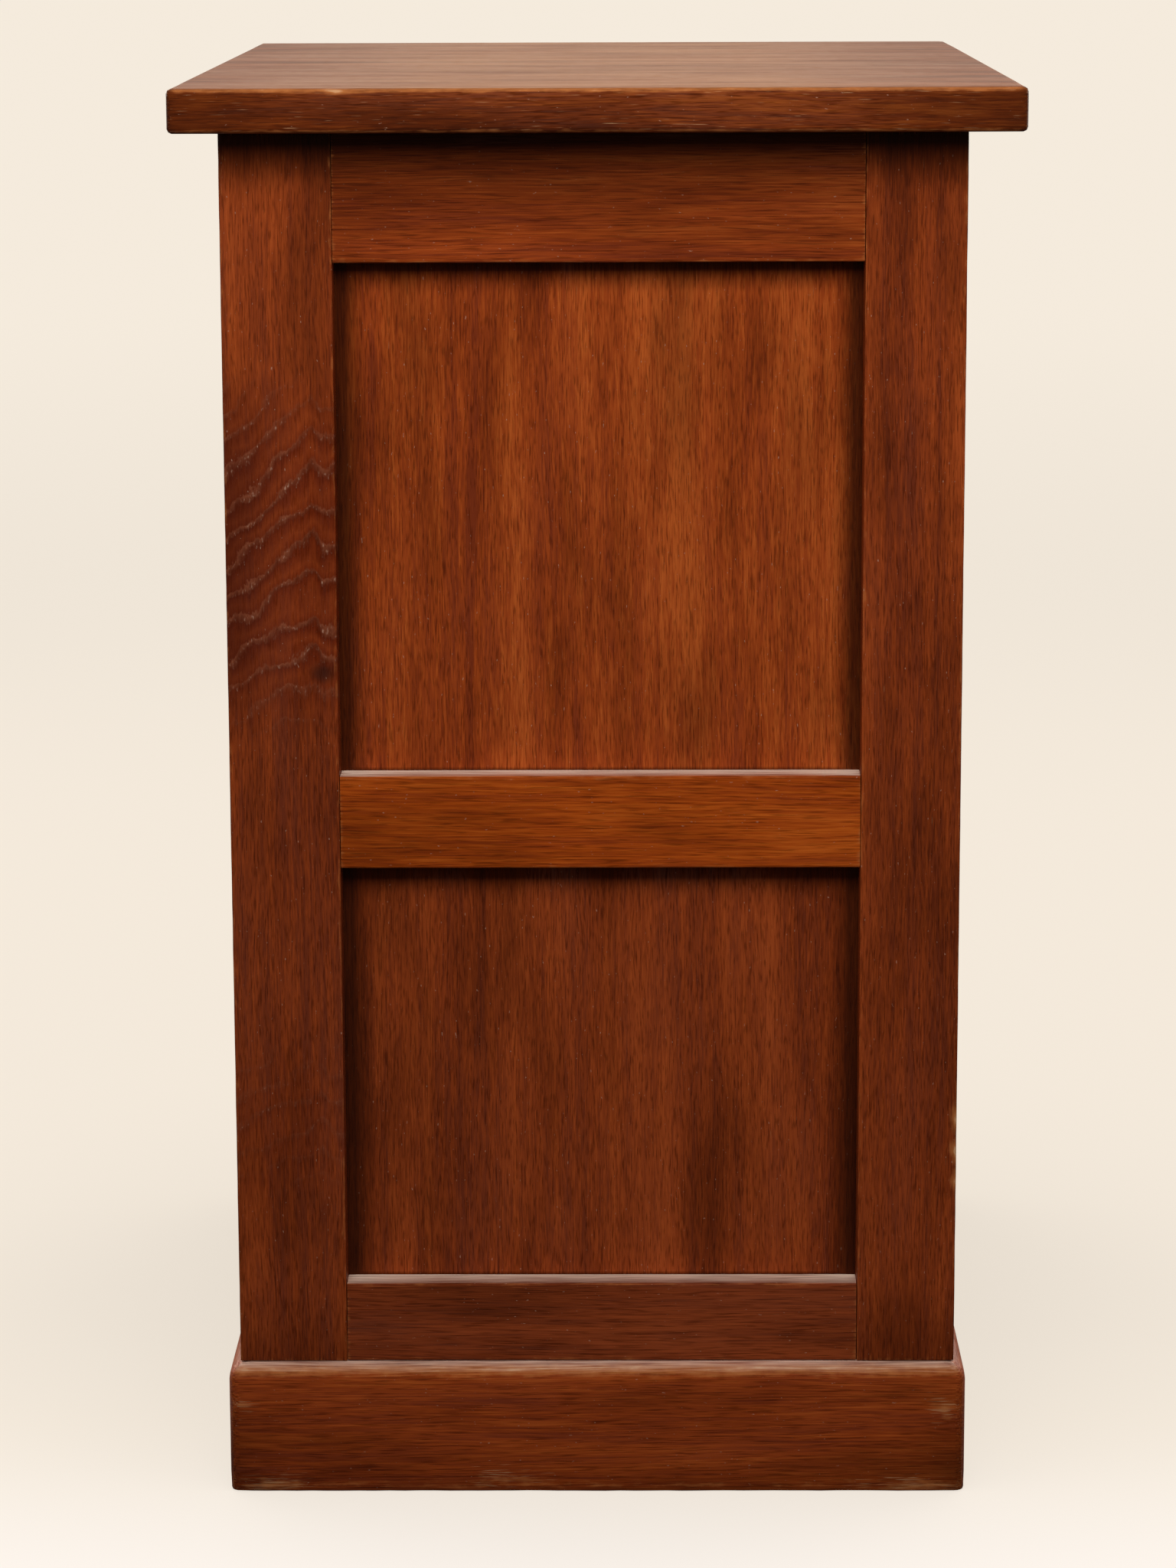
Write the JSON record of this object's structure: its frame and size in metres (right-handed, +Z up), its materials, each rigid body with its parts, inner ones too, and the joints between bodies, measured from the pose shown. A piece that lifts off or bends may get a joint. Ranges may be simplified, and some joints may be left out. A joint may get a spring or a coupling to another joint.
{
  "type": "tambour cabinet",
  "caption": "Stained oak tambour cabinet with framed, panelled sides and back, an overhanging top, a rounded plinth and a slatted shutter that slides up the front over shelves.",
  "frame": {"origin": "on the floor, under the middle of the top board", "axes": "+Z up, front with the shutter towards -Y, +X to the right of someone who faces the front"},
  "size_m": [0.64, 0.456, 0.787],
  "materials": {
    "oak": "red-brown stained oak, worn semi-gloss varnish",
    "oak_panel": "red-brown stained oak panel, semi-gloss varnish",
    "oak_inside": "oak, thin matt finish",
    "canvas": "plain woven canvas, unbleached",
    "brass": "aged brass",
    "screw_steel": "dull steel"
  },
  "bodies": {
    "cabinet": {"back_bottom_rail": "oak", "back_left_panel": "oak_panel", "back_muntin": "oak", "back_right_panel": "oak_panel", "back_top_rail": "oak", "bottom_board": "oak_inside", "header_rail": "oak", "inner_back": "oak_inside", "inner_top": "oak_inside", "left_back_stile": "oak", "left_bottom_rail": "oak", "left_front_stile": "oak", "left_lower_panel": "oak_panel", "left_middle_rail": "oak", "left_top_rail": "oak", "left_track_board": "oak_inside", "left_upper_panel": "oak_panel", "plinth_back": "oak", "plinth_blocks": "oak", "plinth_front": "oak", "plinth_left": "oak", "plinth_right": "oak", "right_back_stile": "oak", "right_bottom_rail": "oak", "right_front_stile": "oak", "right_lower_panel": "oak_panel", "right_middle_rail": "oak", "right_top_rail": "oak", "right_track_board": "oak_inside", "right_upper_panel": "oak_panel", "shelf_lower": "oak_inside", "shelf_pegs": "brass", "shelf_upper": "oak_inside", "strike_plate": "brass", "top_board": "oak", "top_dowels": "oak", "track_screws": "screw_steel"},
    "shutter": {"lead_rail": "oak", "tambour_slats": "oak", "canvas_backing": "canvas", "lock_case": "brass", "lock_escutcheon": "brass"},
    "lock_barrel": {"lock_plug": "brass", "lock_cam": "brass"}
  },
  "joints": [
    {"name": "shutter_slide", "type": "slide", "parent": "cabinet", "child": "shutter", "axis": [0, 0, 1], "range_m": [0, 0.545], "deforming": ["tambour_slats", "canvas_backing"]},
    {"name": "lock_turn", "type": "hinge", "parent": "shutter", "child": "lock_barrel", "pos_m": [0, -0.175, 0.1228], "axis": [0, 1, 0], "range_deg": [0, 90]}
  ]
}
